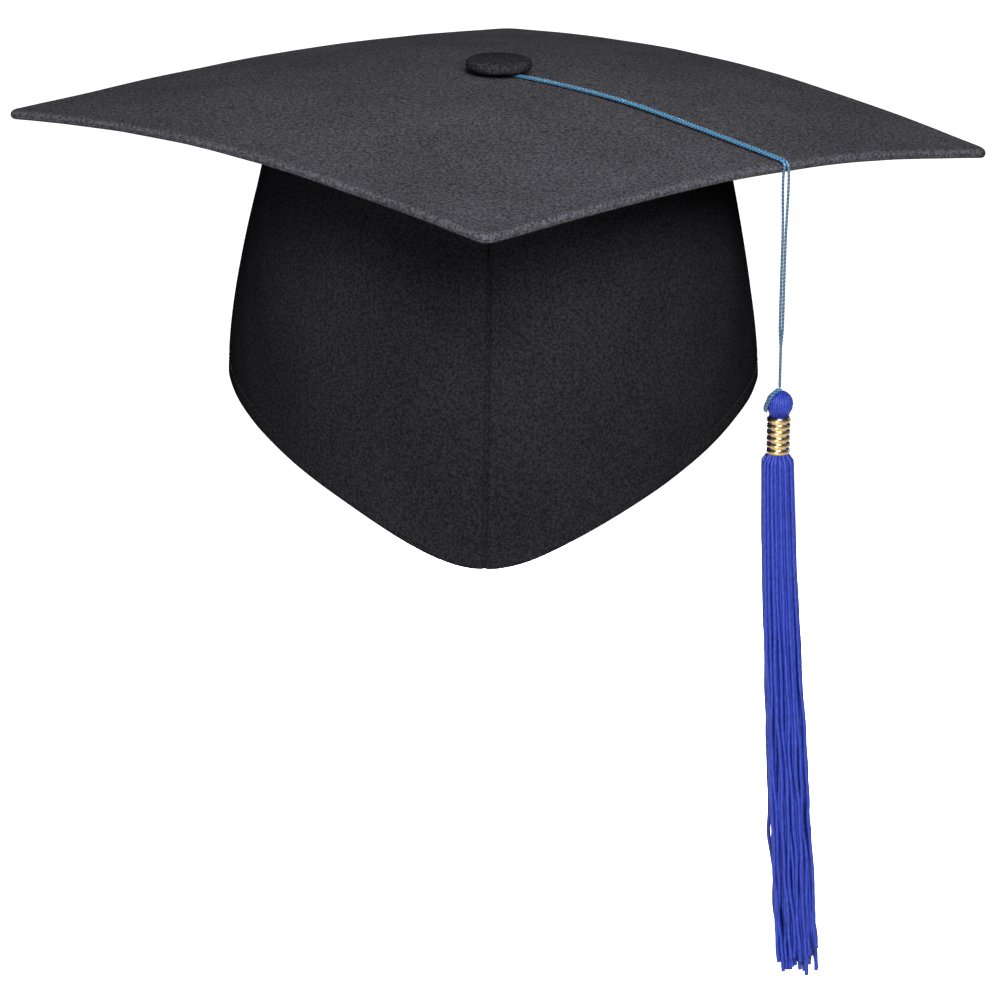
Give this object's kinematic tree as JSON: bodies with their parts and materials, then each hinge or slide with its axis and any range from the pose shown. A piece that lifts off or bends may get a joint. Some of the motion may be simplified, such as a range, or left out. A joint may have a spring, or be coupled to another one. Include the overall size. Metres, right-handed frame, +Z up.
{
  "type": "graduation cap",
  "caption": "Square-board graduation cap: drooping fabric-covered board on an oval fabric crown with a pointed front, button, doubled cord and a hanging tassel in a ringed metal ferrule.",
  "frame": {"origin": "middle of the head opening, level with the crown's side hem", "axes": "+Z up out of the board, front point of the crown and the board's front corner towards -Y, +X to the viewer's right"},
  "size_m": [0.338, 0.338, 0.3027],
  "materials": {
    "cap_cloth": "matte woven polyester",
    "board_card": "grey pressed board",
    "interfacing": "bonded stiffening cloth",
    "lining_cloth": "smooth plain-weave lining",
    "headband_tape": "ribbed grosgrain tape",
    "elastic": "knitted elastic",
    "black_thread": "spun sewing thread",
    "button_metal": "pressed tin plate",
    "cord_blue": "twisted rayon cord",
    "tassel_blue": "rayon chainette",
    "tassel_thread": "wound thread",
    "ferrule_gold": "polished ringed metal"
  },
  "bodies": {
    "cap": {"board_core": "board_card", "board_top_cover": "cap_cloth", "board_bottom_cover": "cap_cloth", "crown_front_left": "cap_cloth", "crown_front_right": "cap_cloth", "crown_back": "cap_cloth", "interfacing_front_left": "interfacing", "interfacing_front_right": "interfacing", "lining_front_left": "lining_cloth", "lining_front_right": "lining_cloth", "lining_back": "lining_cloth", "crown_top_panel": "lining_cloth", "headband_tape": "headband_tape", "rear_elastic": "elastic", "hem_stitching": "black_thread", "button_cover": "cap_cloth", "button_shell": "button_metal", "button_back": "button_metal", "button_post": "button_metal", "post_washer": "button_metal"},
    "cord_lead": {"tassel_loop": "cord_blue", "cord_run_left": "cord_blue", "cord_run_right": "cord_blue"},
    "cord_drop": {"cord_drop_left": "cord_blue", "cord_drop_right": "cord_blue"},
    "tassel": {"tassel_head": "tassel_blue", "tassel_binding": "tassel_thread", "tassel_ferrule": "ferrule_gold", "head_loop": "cord_blue", "tassel_skirt": "tassel_blue"}
  },
  "joints": [
    {"name": "tassel_turn", "type": "hinge", "parent": "cap", "child": "cord_lead", "pos_m": [0, 0, 0.1058], "axis": [0, 0, 1], "range_deg": [-16, 0]},
    {"name": "cord_swing", "type": "hinge", "parent": "cord_lead", "child": "cord_drop", "pos_m": [0.09826, -0.07404, 0.0896], "axis": [-0.7071, -0.7071, 0], "range_deg": [-3, 45]},
    {"name": "tassel_sway", "type": "hinge", "parent": "cord_drop", "child": "tassel", "pos_m": [0.09826, -0.07404, 0.0148], "axis": [0.7071, -0.7071, 0], "range_deg": [-30, 30]}
  ]
}
